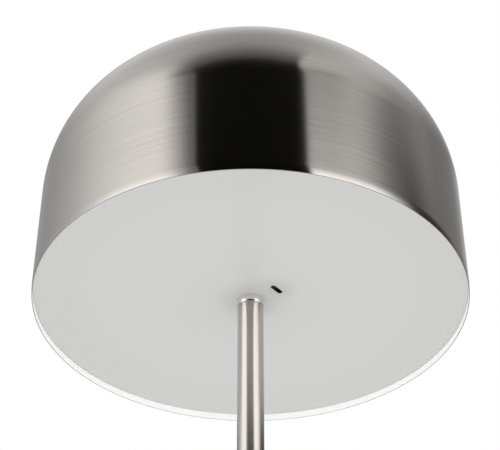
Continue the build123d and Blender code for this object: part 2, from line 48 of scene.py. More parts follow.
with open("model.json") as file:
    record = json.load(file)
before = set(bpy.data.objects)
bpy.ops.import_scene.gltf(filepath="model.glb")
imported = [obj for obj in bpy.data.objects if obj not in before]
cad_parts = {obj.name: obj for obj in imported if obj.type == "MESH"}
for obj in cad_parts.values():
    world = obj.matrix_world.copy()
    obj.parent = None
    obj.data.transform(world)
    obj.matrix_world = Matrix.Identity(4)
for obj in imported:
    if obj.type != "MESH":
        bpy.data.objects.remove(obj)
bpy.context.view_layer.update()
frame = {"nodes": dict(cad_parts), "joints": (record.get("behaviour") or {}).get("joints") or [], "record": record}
NODES = frame["nodes"]
LAMP_BODY = "lamp"
MM = 0.001
# Points closer together than this are one point, and a smaller radius than this is on the lamp's axis
MERGED = 1e-7
ON_AXIS = 1e-6


def reach(node):
    """A turned node's radius and its lowest and highest level, in metres."""
    low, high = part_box(node)
    return min(high.x, high.y, -low.x, -low.y), low.z, high.z


SHADE_RADIUS, RIM_LEVEL = reach("dome_shade")[:2]
POLE_RADIUS = reach("pole_upper")[0]
ROD_RADIUS = reach("centre_rod")[0]


# Settings


def linear(code):
    """An sRGB hex colour as linear RGBA."""
    channels = [int(code[i:i + 2], 16) / 255 for i in (1, 3, 5)]
    return (*[c / 12.92 if c <= 0.04045 else ((c + 0.055) / 1.055) ** 2.4 for c in channels], 1.0)


def length(name, description, default):
    """A size in metres for a property group."""
    return FloatProperty(name=name, description=description, default=default, min=0.0, unit="LENGTH",
                         precision=5)


def angle(name, description, degrees):
    """An angle for a property group, given in degrees."""
    return FloatProperty(name=name, description=description, default=math.radians(degrees), unit="ROTATION")


def share(name, description, default):
    """A number from 0 to 1 for a property group."""
    return FloatProperty(name=name, description=description, default=default, min=0.0, max=1.0,
                         subtype="FACTOR")


def count(name, description, default):
    """A whole number of things round the lamp for a property group."""
    return IntProperty(name=name, description=description, default=default, min=3)


def power(name, description, default):
    """A light's power for a property group."""
    return FloatProperty(name=name, description=description, default=default, min=0.0, subtype="POWER")


def colour(name, description, code):
    """A colour for a property group, given as an sRGB hex value."""
    return FloatVectorProperty(name=name, description=description, default=linear(code), size=4, min=0.0,
                               max=1.0, subtype="COLOR")


class LampShape(bpy.types.PropertyGroup):
    """Sizes of the turned pieces that the frame's boxes don't give."""

    wall_height: length("Shade wall", "From the rim's edge to the corner", 119 * MM)
    taper: angle("Shade taper", "How far the wall leans inwards going up", 1)
    corner_radius: length("Shade corner", "Radius between the wall and the crown", 137 * MM)
    crown_radius: length("Shade crown", "Radius of the shade's top", 355 * MM)
    sheet: length("Shade sheet", "Thickness of the spun sheet", 0.8 * MM)
    lip_radius: length("Rim radius", "Radius on which the rim turns inwards", 90 * MM)
    lip_turn: angle("Rim turn", "How far the rim turns inwards", 5)
    hole_radius: length("Rod hole", "Plain holes round the threaded rod", ROD_RADIUS + 0.3 * MM)
    rim_break: length("Rim break", "Bevel on both edges of the rim", 0.06 * MM)
    edge_break: length("Edge break", "Rounding of turned edges", 0.35 * MM)
    pole_wall: length("Pole wall", "Wall of the pole's tubes", 1.2 * MM)
    sheet_thickness: length("Diffuser sheet", "Thickness of the diffuser", 2.5 * MM)
    upstand_wall: length("Diffuser upstand", "Wall of the diffuser's upstand", 2 * MM)
    sheet_edge: length("Diffuser edge", "Radius of the diffuser's lower edge", 0.2 * MM)
    sheet_gap: length("Diffuser gap", "Hairline between the diffuser's face and the shade", 0.1 * MM)
    slot_length: length("Slot length", "Switch slot in the diffuser", 15.6 * MM)
    slot_width: length("Slot width", "Switch slot in the diffuser", 5.3 * MM)
    boss_radius: length("Boss radius", "The two bosses that carry the switch", 2.6 * MM)
    ear_thickness: length("Switch ear", "Thickness of the switch's ears on the bosses", 1.6 * MM)
    screw_head: length("Screw head", "Head radius of the switch's screws", 2 * MM)
    collar_taper: length("Collar taper", "Height over which the upper collar widens from the pole", 1.2 * MM)
    collar_bevel: length("Collar bevel", "Bevel on the lower collar's upper edge", 2 * MM)
    base_sheet: length("Base sheet", "Thickness of the base's pressed cover", 1.2 * MM)
    base_edge: length("Base edge", "Radius of the base's upper edge", 10 * MM)
    foot_radius: length("Foot radius", "Radius of a rubber foot", 10 * MM)
    foot_edge: length("Foot edge", "Radius of a foot's lower edge", 0.8 * MM)
    foot_count: count("Feet", "Rubber feet under the base", 5)
    finial_edge: length("Finial edge", "Radius of the finial's upper edge", 3 * MM)
    finial_depth: length("Finial hole", "Depth of the finial's threaded hole", 8 * MM)
    segments: count("Segments", "Faces round a large turned piece", 240)
    small_segments: count("Small segments", "Faces round a small turned piece", 96)


class LampFinish(bpy.types.PropertyGroup):
    """Colours and gloss of the finishes."""

    nickel: colour("Nickel", "Brushed nickel plate", "#B2AEA9")
    nickel_roughness: share("Nickel roughness", "Blur of reflections in the shade and base", 0.12)
    tube_roughness: share("Tube roughness", "Blur of reflections in the pole's tubes", 0.22)
    satin: colour("Satin nickel", "Brighter nickel of the diffuser's collar", "#F0EDE9")
    satin_roughness: share("Satin roughness", "Blur of reflections in the diffuser's collar", 0.22)
    opal: colour("Opal acrylic", "Diffuser", "#C9C9C9")
    paint: colour("White paint", "Inside of the shade", "#F6F6F4")
    black: colour("Black plastic", "Switch and bottom cover", "#141414")
    rubber: colour("Rubber", "Feet and cord bush", "#191919")


class LampStage(bpy.types.PropertyGroup):
    """Camera and light."""

    camera_back: length("Camera back", "From the pole's axis to the camera, towards -Y", 1382.4 * MM)
    camera_drop: length("Camera drop", "From the rim's edge down to the camera", 962.9 * MM)
    camera_pitch: angle("Camera pitch", "How far the camera looks up", 37.59)
    lens: FloatProperty(name="Lens", description="Focal length for a 36 mm sensor", default=124.4,
                        subtype="DISTANCE_CAMERA")
    camera_shift: FloatProperty(name="Camera shift", description="Sideways shift, in frame widths",
                                default=-0.0012)
    floor_radius: length("Floor", "Radius of the round floor", 2.0)
    wash_size: length("Floor wash size", "Diameter of the light over the floor", 5.0)
    wash_height: length("Floor wash height", "From the floor up to that light", 4.0)
    wash_power: power("Floor wash power", "Power of that light", 120.0)
    glow_drop: length("Glow drop", "From the diffuser's face down to the pole's lights", 1 * MM)
    glow_power: power("Glow power", "Power of the pole's lights for a square metre", 4.3)
    fill_distance: length("Fill distance", "From the pole's axis to the ring of fill lights", 3.0)
    fill_count: count("Fill lights", "Fill lights in the ring", 6)
    fill_power: power("Fill power", "Power of the fill lights for a square metre", 13.2)


# Finishes

# A Mix node's sockets by number, because those for numbers and for colours share their names
MIX_A, MIX_B, MIX_COLOUR_A, MIX_COLOUR_B = 2, 3, 6, 7
MIX_RESULT, MIX_COLOUR_RESULT = 0, 2


def add_node(tree, kind, inputs=None, **settings):
    """Adds a node, sets its properties, and gives its inputs values or links."""
    node = tree.nodes.new(kind)
    for name, value in settings.items():
        setattr(node, name, value)
    for key, value in (inputs or {}).items():
        if isinstance(value, bpy.types.NodeSocket):
            tree.links.new(value, node.inputs[key])
        else:
            node.inputs[key].default_value = value
    return node


def new_material(name, constants):
    """An empty node material with its principled shader, whose constants are given by socket name."""
    material = bpy.data.materials.new(name)
    material.use_nodes = True
    tree = material.node_tree
    tree.nodes.clear()
    shader = add_node(tree, "ShaderNodeBsdfPrincipled", constants)
    add_node(tree, "ShaderNodeOutputMaterial", {"Surface": shader.outputs["BSDF"]})
    return material, tree, shader


def grain(tree, spacing, detail=2.0, stretch=(1, 1, 1)):
    """Noise in object space whose features are about spacing metres wide, longer where stretch is larger."""
    place = add_node(tree, "ShaderNodeTexCoord")
    scaled = add_node(tree, "ShaderNodeMapping", {
        "Vector": place.outputs["Object"], "Scale": [1 / (spacing * s) for s in stretch],
    })
    noise = add_node(tree, "ShaderNodeTexNoise", {
        "Vector": scaled.outputs["Vector"], "Scale": 1.0, "Detail": detail,
    })
    return noise.outputs["Fac"]


def textured(tree, shader, tint, gloss=None, bump=None, ends=(0.3, 0.7)):
    """Lets patterns drive a shader. Tint is a pattern and the colours at its two ends, gloss a pattern and
    the roughness at its ends, and bump a pattern, its depth in metres and its strength."""
    pattern, dark, light = tint
    wander = {"From Min": ends[0], "From Max": ends[1]}
    place = add_node(tree, "ShaderNodeMapRange", {"Value": pattern, **wander})
    mix = add_node(tree, "ShaderNodeMix", {
        "Factor": place.outputs["Result"], MIX_COLOUR_A: dark, MIX_COLOUR_B: light,
    }, data_type="RGBA")
    tree.links.new(mix.outputs[MIX_COLOUR_RESULT], shader.inputs["Base Color"])
    if gloss:
        pattern, low, high = gloss
        rough = add_node(tree, "ShaderNodeMapRange", {
            "Value": pattern, **wander, "To Min": low, "To Max": high,
        })
        tree.links.new(rough.outputs["Result"], shader.inputs["Roughness"])
    if bump:
        pattern, depth, strength = bump
        raised = add_node(tree, "ShaderNodeBump", {
            "Height": pattern, "Distance": depth, "Strength": strength,
        })
        tree.links.new(raised.outputs["Normal"], shader.inputs["Normal"])


def scaled_colour(value, factor):
    """A linear colour made darker or lighter."""
    return (*[min(1.0, c * factor) for c in value[:3]], 1.0)


def brushed_nickel(name, base, roughness, streak, contrast):
    """Nickel plate on steel, brushed on the lathe: reflections smear across the brush lines, up and down, and
    stay sharp along them. Real lines are about 0.2 mm apart, too fine to show, so they are drawn coarser."""
    line_spacing = 0.8 * MM
    line_length = 150 * MM
    uneven_gloss = 0.07
    material, tree, shader = new_material(name, {
        "Metallic": 1.0, "Anisotropic": streak, "Anisotropic Rotation": 0.25,
    })
    run = add_node(tree, "ShaderNodeAttribute", attribute_name="run")
    place = add_node(tree, "ShaderNodeTexCoord")
    along = add_node(tree, "ShaderNodeVectorMath", {0: place.outputs["Object"], "Scale": 1 / line_length},
                     operation="SCALE")
    across = add_node(tree, "ShaderNodeMath", {0: run.outputs["Fac"], 1: 1 / line_spacing},
                      operation="MULTIPLY")
    noise = add_node(tree, "ShaderNodeTexNoise", {
        "Vector": along.outputs["Vector"], "W": across.outputs["Value"], "Scale": 1.0, "Detail": 2.0,
    }, noise_dimensions="4D")
    lines = noise.outputs["Fac"]
    textured(
        tree, shader,
        tint=(lines, scaled_colour(base, 1 - contrast), scaled_colour(base, 1 + contrast)),
        gloss=(lines, roughness * (1 - uneven_gloss), roughness * (1 + uneven_gloss)),
        bump=(lines, 0.004 * MM, 0.3),
    )
    tangent = add_node(tree, "ShaderNodeTangent", direction_type="RADIAL", axis="Z")
    tree.links.new(tangent.outputs["Tangent"], shader.inputs["Tangent"])
    return material


def round_patch(tree, centre, near, far):
    """A soft round patch in plan, 1 within near metres of a point and 0 from far on."""
    place = add_node(tree, "ShaderNodeTexCoord")
    moved = add_node(tree, "ShaderNodeVectorMath", {0: place.outputs["Object"], 1: (*centre, 0)},
                     operation="SUBTRACT")
    flat = add_node(tree, "ShaderNodeVectorMath", {0: moved.outputs["Vector"], 1: (1, 1, 0)},
                    operation="MULTIPLY")
    away = add_node(tree, "ShaderNodeVectorMath", {0: flat.outputs["Vector"]}, operation="LENGTH")
    patch = add_node(tree, "ShaderNodeMapRange", {
        "Value": away.outputs["Value"], "From Min": far, "From Max": near,
    })
    return patch.outputs["Result"]


def opal_acrylic(finish):
    """Cast opal acrylic with a satin face: even and milk-white, with a soft gloss. Round the washer on the rod and
    round the switch the colour is painted a faint grey: painted shade for the collar's and pole's shade on the
    sheet, with what shows through it."""
    hub_shade_near, hub_shade_far = 13 * MM, 33 * MM
    switch_shade_near, switch_shade_far = 6 * MM, 22 * MM
    cloudiness = 0.05
    shaded_opal = scaled_colour(finish.opal, 0.86)
    material, tree, shader = new_material("opal acrylic", {"IOR": 1.49})
    low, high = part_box("switch_cover")
    # Painted shade: greyer near the rod and near the switch, for the collar's and pole's shade on the sheet and
    # for what shows through it
    washer = round_patch(tree, (0, 0), hub_shade_near, hub_shade_far)
    switch = round_patch(tree, (low + high).to_2d() / 2, switch_shade_near, switch_shade_far)
    behind = add_node(tree, "ShaderNodeMath", {0: washer, 1: switch}, operation="MAXIMUM")
    cloud = grain(tree, 60 * MM)
    cloud_and_shade = add_node(tree, "ShaderNodeMath", {0: cloud, 1: cloudiness, 2: behind.outputs[0]},
                     operation="MULTIPLY_ADD")
    textured(tree, shader, tint=(cloud_and_shade.outputs[0], finish.opal, shaded_opal), gloss=(cloud, 0.28, 0.32),
             ends=(0, 1))
    return material


def white_paint(finish):
    """Sprayed polyester powder coat, baked: a white film with a fine orange peel."""
    material, tree, shader = new_material("white powder coat", {"IOR": 1.5})
    peel = grain(tree, 1.6 * MM, detail=1.0)
    textured(tree, shader, tint=(peel, scaled_colour(finish.paint, 0.985), finish.paint),
             gloss=(peel, 0.36, 0.44), bump=(peel, 0.02 * MM, 0.3))
    return material


def moulded_plastic(name, base, roughness):
    """Plastic moulded in a spark-eroded tool: an even colour under a fine, slightly shiny grain."""
    material, tree, shader = new_material(name, {"IOR": 1.53})
    spark = grain(tree, 0.5 * MM, detail=3.0)
    textured(tree, shader, tint=(spark, scaled_colour(base, 0.85), scaled_colour(base, 1.12)),
             gloss=(spark, roughness * 0.85, roughness * 1.2), bump=(spark, 0.03 * MM, 0.5))
    return material


def soft_rubber(finish):
    """Moulded rubber: matt, with dust-fine pores and paler rubbed patches."""
    material, tree, shader = new_material("moulded rubber", {"IOR": 1.52})
    rubbed = grain(tree, 7 * MM, detail=4.0)
    pores = grain(tree, 0.4 * MM)
    textured(tree, shader, tint=(rubbed, finish.rubber, scaled_colour(finish.rubber, 1.8)),
             gloss=(pores, 0.72, 0.9), bump=(pores, 0.04 * MM, 0.6))
    return material


def zinc_plate():
    """Bright zinc on turned steel: a cool metal with a faint blue cast and uneven gloss."""
    material, tree, shader = new_material("zinc plated steel", {"Metallic": 1.0})
    patches = grain(tree, 3 * MM, detail=3.0)
    textured(tree, shader, tint=(patches, linear("#A9ACB0"), linear("#C6C9CC")),
             gloss=(patches, 0.25, 0.42), bump=(grain(tree, 0.5 * MM), 0.01 * MM, 0.4))
    return material


def sheared_steel():
    """The bare cut edge of steel sheet: a dull grey with fine marks from the shear."""
    material, tree, shader = new_material("sheared steel", {"Metallic": 1.0})
    marks = grain(tree, 2 * MM)
    textured(tree, shader, tint=(marks, linear("#807E7C"), linear("#8E8C8A")), gloss=(marks, 0.4, 0.5))
    return material


def sand_cast_iron():
    """Sand-cast iron under a thin black wash: dark, coarse and dull."""
    material, tree, shader = new_material("sand cast iron", {"Metallic": 0.3})
    sand = grain(tree, 1.4 * MM, detail=5.0)
    textured(tree, shader, tint=(sand, linear("#1C1C1D"), linear("#343332")),
             gloss=(sand, 0.6, 0.85), bump=(sand, 0.3 * MM, 0.8))
    return material


def rolled_aluminium():
    """Mill-finish aluminium sheet: long straight rolling marks along X."""
    material, tree, shader = new_material("rolled aluminium", {"Metallic": 1.0})
    marks = grain(tree, 0.6 * MM, detail=3.0, stretch=(60, 1, 1))
    textured(tree, shader, tint=(marks, linear("#C3C5C7"), linear("#DDDEDF")),
             gloss=(marks, 0.28, 0.45), bump=(marks, 0.01 * MM, 0.4))
    return material


def stamped_brass():
    """Stamped brass pins: yellow metal, slightly dulled."""
    material, tree, shader = new_material("stamped brass", {"Metallic": 1.0})
    dulled = grain(tree, 1.5 * MM, detail=3.0)
    textured(tree, shader, tint=(dulled, linear("#B08D45"), linear("#D9B970")), gloss=(dulled, 0.2, 0.4))
    return material


def circuit_board(name, dark, light):
    """Solder mask on glass-epoxy board: a smooth film with the glass weave faintly under it."""
    material, tree, shader = new_material(name, {"IOR": 1.55})
    weave = grain(tree, 0.8 * MM, detail=1.0, stretch=(3, 1, 1))
    textured(tree, shader, tint=(weave, linear(dark), linear(light)),
             gloss=(weave, 0.3, 0.4), bump=(weave, 0.01 * MM, 0.4))
    return material


# Outlines and meshes


def arc(centre, radius, start, end, steps):
    """Points on a circle in the profile plane, from one angle in radians to another."""
    turns = [start + (end - start) * i / steps for i in range(steps + 1)]
    return [(centre[0] + radius * math.cos(t), centre[1] + radius * math.sin(t)) for t in turns]


def rounded(points, radius, steps=3):
    """A closed outline with its corners rounded."""
    most_of_side = 0.45
    softened = []
    for i, point in enumerate(points):
        here, before, after = Vector(point), Vector(points[i - 1]), Vector(points[(i + 1) % len(points)])
        back, ahead = before - here, after - here
        cut = min(radius, most_of_side * back.length, most_of_side * ahead.length)
        first, last = here + back.normalized() * cut, here + ahead.normalized() * cut
        for s in range(steps + 1):
            t = s / steps
            softened.append(tuple(first * (1 - t) ** 2 + here * 2 * t * (1 - t) + last * t * t))
    return softened


def run_to(points, index):
    """Distance along an outline to one of its points."""
    return sum(math.dist(points[i], points[i + 1]) for i in range(index))


def new_tree(name, inputs, result):
    """An empty geometry node tree with its named inputs and one result."""
    tree = bpy.data.node_groups.new(name, "GeometryNodeTree")
    for socket, kind in inputs.items():
        tree.interface.new_socket(socket, in_out="INPUT", socket_type="NodeSocket" + kind)
    tree.interface.new_socket(result, in_out="OUTPUT", socket_type="NodeSocketGeometry")
    return tree, add_node(tree, "NodeGroupInput").outputs


def turning_tree():
    """Geometry nodes that turn an outline about the lamp's axis and keep the distance along it."""
    tree, given = new_tree("Turned piece", {
        "Outline": "Geometry", "Segments": "Int", "Axis Offset": "Float",
        "Finish": "Material", "Inside Finish": "Material", "Inside From": "Float",
    }, "Piece")
    outline = add_node(tree, "GeometryNodeMeshToCurve", {"Mesh": given["Outline"]})
    along = add_node(tree, "GeometryNodeSplineParameter")
    kept = add_node(tree, "GeometryNodeCaptureAttribute", {"Geometry": outline.outputs["Curve"]},
                    domain="POINT")
    kept.capture_items.new("FLOAT", "Run")
    tree.links.new(along.outputs["Length"], kept.inputs["Run"])
    circle = add_node(tree, "GeometryNodeCurvePrimitiveCircle", {
        "Resolution": given["Segments"], "Radius": given["Axis Offset"],
    })
    shell = add_node(tree, "GeometryNodeCurveToMesh", {
        "Curve": circle.outputs["Curve"], "Profile Curve": kept.outputs["Geometry"],
    })
    closed = add_node(tree, "GeometryNodeMergeByDistance", {
        "Geometry": shell.outputs["Mesh"], "Distance": MERGED,
    })
    marked = add_node(tree, "GeometryNodeStoreNamedAttribute", {
        "Geometry": closed.outputs["Geometry"], "Name": "run", "Value": kept.outputs["Run"],
    }, data_type="FLOAT", domain="POINT")
    smooth = add_node(tree, "GeometryNodeSetShadeSmooth", {"Geometry": marked.outputs["Geometry"]})
    real = add_node(tree, "GeometryNodeRealizeInstances", {"Geometry": smooth.outputs["Geometry"]})
    finished = add_node(tree, "GeometryNodeSetMaterial", {
        "Geometry": real.outputs["Geometry"], "Material": given["Finish"],
    })
    run = add_node(tree, "GeometryNodeInputNamedAttribute", {"Name": "run"}, data_type="FLOAT")
    inside = add_node(tree, "FunctionNodeCompare", {0: run.outputs["Attribute"], 1: given["Inside From"]},
                      data_type="FLOAT", operation="GREATER_THAN")
    both = add_node(tree, "GeometryNodeSetMaterial", {
        "Geometry": finished.outputs["Geometry"], "Selection": inside.outputs["Result"],
        "Material": given["Inside Finish"],
    })
    add_node(tree, "NodeGroupOutput", {"Piece": both.outputs["Geometry"]})
    return tree


def copies_tree():
    """Geometry nodes that set copies of a piece evenly on a circle about the lamp's axis."""
    tree, given = new_tree("Ring of copies", {
        "Piece": "Geometry", "Count": "Int", "Circle Radius": "Float", "Start Angle": "Float",
        "Finish": "Material",
    }, "Copies")
    circle = add_node(tree, "GeometryNodeMeshCircle", {
        "Vertices": given["Count"], "Radius": given["Circle Radius"],
    })
    turn = add_node(tree, "ShaderNodeCombineXYZ", {"Z": given["Start Angle"]})
    turned = add_node(tree, "GeometryNodeTransform", {
        "Geometry": circle.outputs["Mesh"], "Rotation": turn.outputs["Vector"],
    })
    copies = add_node(tree, "GeometryNodeInstanceOnPoints", {
        "Points": turned.outputs["Geometry"], "Instance": given["Piece"],
    })
    real = add_node(tree, "GeometryNodeRealizeInstances", {"Geometry": copies.outputs["Instances"]})
    finished = add_node(tree, "GeometryNodeSetMaterial", {
        "Geometry": real.outputs["Geometry"], "Material": given["Finish"],
    })
    add_node(tree, "NodeGroupOutput", {"Copies": finished.outputs["Geometry"]})
    return tree


def placed(name, data):
    """A new object in the scene."""
    made = bpy.data.objects.new(name, data)
    bpy.context.collection.objects.link(made)
    return made


def evaluated_mesh(carrier, tree, values):
    """The plain mesh that a geometry node tree makes from a carrier object, which is then removed."""
    modifier = carrier.modifiers.new("nodes", "NODES")
    modifier.node_group = tree
    identifiers = {i.name: i.identifier for i in tree.interface.items_tree if i.in_out == "INPUT"}
    for name, value in values.items():
        modifier[identifiers[name]] = value
    depsgraph = bpy.context.evaluated_depsgraph_get()
    mesh = bpy.data.meshes.new_from_object(carrier.evaluated_get(depsgraph))
    source = carrier.data
    bpy.data.objects.remove(carrier)
    bpy.data.meshes.remove(source)
    return mesh


def outward(mesh):
    """Closes a mesh, points its faces outwards and shades it smooth between its sharp edges."""
    sharp = math.radians(40)
    work = bmesh.new()
    work.from_mesh(mesh)
    bmesh.ops.remove_doubles(work, verts=work.verts, dist=MERGED)
    bmesh.ops.recalc_face_normals(work, faces=work.faces)
    work.to_mesh(mesh)
    work.free()
    mesh.shade_smooth()
    mesh.set_sharp_from_angle(angle=sharp)
    return mesh


def turned_mesh(name, points, segments, finish, inside=None, inside_from=0.0):
    """The mesh of a turned piece from its outline in (radius, level) points, with another finish inside from
    a distance along the outline on."""
    axis_offset = 1 * MM
    mesh = bpy.data.meshes.new(name + "_outline")
    edges = [(i, i + 1) for i in range(len(points) - 1)]
    if points[0][0] > ON_AXIS:
        edges.append((len(points) - 1, 0))
    mesh.from_pydata([(r - axis_offset, -z, 0) for r, z in points], edges, [])
    made = evaluated_mesh(placed(name + "_outline", mesh), trees()["turned"], {
        "Segments": segments, "Axis Offset": axis_offset, "Finish": finish,
        "Inside Finish": inside or finish, "Inside From": inside_from,
    })
    made.name = name
    return outward(made)


def prism(name, points, low, high):
    """A closed upright prism on an outline in plan."""
    total = len(points)
    corners = [(x, y, z) for z in (low, high) for x, y in points]
    sides = [(i, (i + 1) % total, (i + 1) % total + total, i + total) for i in range(total)]
    mesh = bpy.data.meshes.new(name)
    mesh.from_pydata(corners, [], [tuple(reversed(range(total))), tuple(range(total, 2 * total)), *sides])
    return mesh


def combined(mesh, tool, operation):
    """The mesh joined with a tool mesh, or cut by it; both are used up."""
    name = mesh.name
    body, cutter = (placed(m.name, m) for m in (mesh, tool))
    step = body.modifiers.new("step", "BOOLEAN")
    step.object = cutter
    step.operation = operation
    step.solver = "EXACT"
    depsgraph = bpy.context.evaluated_depsgraph_get()
    made = bpy.data.meshes.new_from_object(body.evaluated_get(depsgraph))
    for used in (body, cutter):
        bpy.data.objects.remove(used)
    for used in (mesh, tool):
        bpy.data.meshes.remove(used)
    made.name = name
    return made


def piece(name, mesh, body, slot, *nodes):
    """A finished piece in the frame, riding on a body in place of CAD nodes."""
    made = placed(name, mesh)
    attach(made, body)
    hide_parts(*nodes)


SHARED = {}


def trees():
    """The two geometry node trees, made once."""
    if "trees" not in SHARED:
        SHARED["trees"] = {"turned": turning_tree(), "copies": copies_tree()}
    return SHARED["trees"]


def materials():
    """Every finish, made once."""
    if "materials" not in SHARED:
        finish = bpy.context.scene.lamp_finish
        SHARED["materials"] = {
            "brushed_nickel": brushed_nickel("brushed nickel plate", finish.nickel, finish.nickel_roughness,
                                             streak=0.95, contrast=0.07),
            "brushed_tube": brushed_nickel("brushed nickel tube", finish.nickel, finish.tube_roughness,
                                           streak=1.0, contrast=0.02),
            "satin_nickel": brushed_nickel("satin nickel", finish.satin, finish.satin_roughness,
                                           streak=0.0, contrast=0.01),
            "opal_acrylic": opal_acrylic(finish),
            "white_paint": white_paint(finish),
            "black_plastic": moulded_plastic("black ABS", finish.black, roughness=0.42),
            "driver_plastic": moulded_plastic("off-white ABS", linear("#DAD9D4"), roughness=0.5),
            "lead_jacket": moulded_plastic("white PVC jacket", linear("#D6D5D0"), roughness=0.45),
            "led_phosphor": moulded_plastic("LED phosphor", linear("#E3C357"), roughness=0.35),
            "black_rubber": soft_rubber(finish),
            "zinc_steel": zinc_plate(),
            "cut_edge": sheared_steel(),
            "cast_iron": sand_cast_iron(),
            "sheet_aluminium": rolled_aluminium(),
            "brass_pin": stamped_brass(),
            "white_board": circuit_board("white solder mask", "#E2E2DD", "#F0F0EC"),
            "green_board": circuit_board("green solder mask", "#0F3A22", "#1A5433"),
        }
    return SHARED["materials"]


# Pieces


def shade_lip(shape):
    """Centre of the arc on which the shade's rim turns inwards."""
    return SHADE_RADIUS - shape.lip_radius, RIM_LEVEL + shape.lip_radius * math.sin(shape.lip_turn)


class LAMP_OT_dome_shade(bpy.types.Operator):
    """Turns the dome: brushed outside, painted inside, with a bare cut edge at its rim"""

    bl_idname = "lamp.dome_shade"
    bl_label = "Dome shade"

    def execute(self, context):
        shape = context.scene.lamp_shape
        lip = shade_lip(shape)
        lean = (math.cos(shape.taper), math.sin(shape.taper))
        corner_start = RIM_LEVEL + shape.wall_height
        rise = corner_start - lip[1] - shape.lip_radius * lean[1]
        corner = (
            lip[0] + (shape.lip_radius - shape.corner_radius) * lean[0] - rise * math.tan(shape.taper),
            corner_start - shape.corner_radius * lean[1],
        )
        spread = shape.crown_radius - shape.corner_radius
        crown = (0.0, corner[1] - math.sqrt(spread ** 2 - corner[0] ** 2))
        join = math.acos(corner[0] / spread)
        edge_turn = -shape.lip_turn + shape.rim_break / shape.lip_radius

        def wall(inset, hole_turn):
            """One face of the sheet, from the rod's hole down to the rim."""
            return [
                *arc(crown, shape.crown_radius - inset, hole_turn, join, 48),
                *arc(corner, shape.corner_radius - inset, join, shape.taper, 40)[1:],
                *arc(lip, shape.lip_radius - inset, shape.taper, edge_turn, 12),
            ]

        outside = wall(0, math.acos(shape.hole_radius / shape.crown_radius))
        within = wall(shape.sheet, math.acos(shape.hole_radius / (shape.crown_radius - shape.sheet)))
        rim = [
            (lip[0] + run * math.cos(shape.lip_turn), lip[1] - run * math.sin(shape.lip_turn))
            for run in (shape.lip_radius - shape.rim_break, shape.lip_radius - shape.sheet + shape.rim_break)
        ]
        outline = [*outside, *rim, *reversed(within)]
        painted_from = run_to(outline, len(outside) + 1)
        finish = materials()
        mesh = turned_mesh("dome_shade_shell", outline, shape.segments, finish["brushed_nickel"],
                           finish["white_paint"], painted_from)
        mesh.materials.append(finish["cut_edge"])
        straight_down = -0.99
        for face in mesh.polygons:
            if face.normal.z < straight_down and face.center.z < RIM_LEVEL + shape.sheet:
                face.material_index = len(mesh.materials) - 1
        piece("dome_shade_shell", mesh, LAMP_BODY, "brushed_nickel", "dome_shade")
        return {"FINISHED"}


class LAMP_OT_diffuser(bpy.types.Operator):
    """Turns the diffuser with its upstand, adds the switch's bosses behind it and cuts the switch's slot"""

    bl_idname = "lamp.diffuser"
    bl_label = "Diffuser"

    def execute(self, context):
        shape = context.scene.lamp_shape
        opal = materials()["opal_acrylic"]
        radius, low, high = reach("diffuser")
        lip = shade_lip(shape)
        inside = shape.lip_radius - shape.sheet
        face_radius = lip[0] + math.sqrt(inside ** 2 - (low - lip[1]) ** 2) - shape.sheet_gap
        edge = (face_radius - shape.sheet_edge, low + shape.sheet_edge)
        back = low + shape.sheet_thickness
        outline = [
            (shape.hole_radius, back),
            (shape.hole_radius, low),
            (edge[0] - shape.sheet_edge, low),
            *arc(edge, shape.sheet_edge, -math.pi / 2, 0, 5),
            (radius, back),
            (radius, high),
            (radius - shape.upstand_wall, high),
            (radius - shape.upstand_wall, back),
        ]
        mesh = turned_mesh("diffuser_panel", outline, shape.segments, opal)
        axis = Vector(frame["joints"][0]["axis"]).to_2d()
        cover_low, cover_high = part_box("switch_cover")
        middle = (cover_low + cover_high).to_2d() / 2
        housing_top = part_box("switch_housing")[1].z
        screws_low, screws_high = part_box("switch_screws")
        offset = ((screws_high.x - screws_low.x) / 2 - shape.screw_head) / axis.x
        for side in (-1, 1):
            boss = arc(middle + side * offset * axis, shape.boss_radius, 0, 2 * math.pi, 32)[:-1]
            post = prism("boss", boss, back - shape.sheet_edge, housing_top - shape.ear_thickness)
            mesh = combined(mesh, post, "UNION")
        end = shape.slot_width / 2
        half = (shape.slot_length / 2 - end) * axis
        turn = math.atan2(axis.y, axis.x)
        slot = [
            point
            for side, start in ((1, turn - math.pi / 2), (-1, turn + math.pi / 2))
            for point in arc(middle + side * half, end, start, start + math.pi, 12)
        ]
        opening = prism("slot", slot, low - shape.sheet_edge, back + shape.sheet_edge)
        mesh = combined(mesh, opening, "DIFFERENCE")
        piece("diffuser_panel", outward(mesh), LAMP_BODY, "opal_acrylic", "diffuser")
        return {"FINISHED"}


class LAMP_OT_pole(bpy.types.Operator):
    """Turns the pole's tubes, with broken edges where they meet"""

    bl_idname = "lamp.pole"
    bl_label = "Pole"

    def execute(self, context):
        shape = context.scene.lamp_shape
        for node in ("pole_lower", "pole_middle", "pole_upper"):
            radius, low, high = reach(node)
            bore = radius - shape.pole_wall
            outline = rounded([(bore, low), (radius, low), (radius, high), (bore, high)], shape.edge_break)
            mesh = turned_mesh(node + "_tube", outline, shape.small_segments, materials()["brushed_tube"])
            piece(node + "_tube", mesh, LAMP_BODY, "brushed_nickel", node)
        return {"FINISHED"}


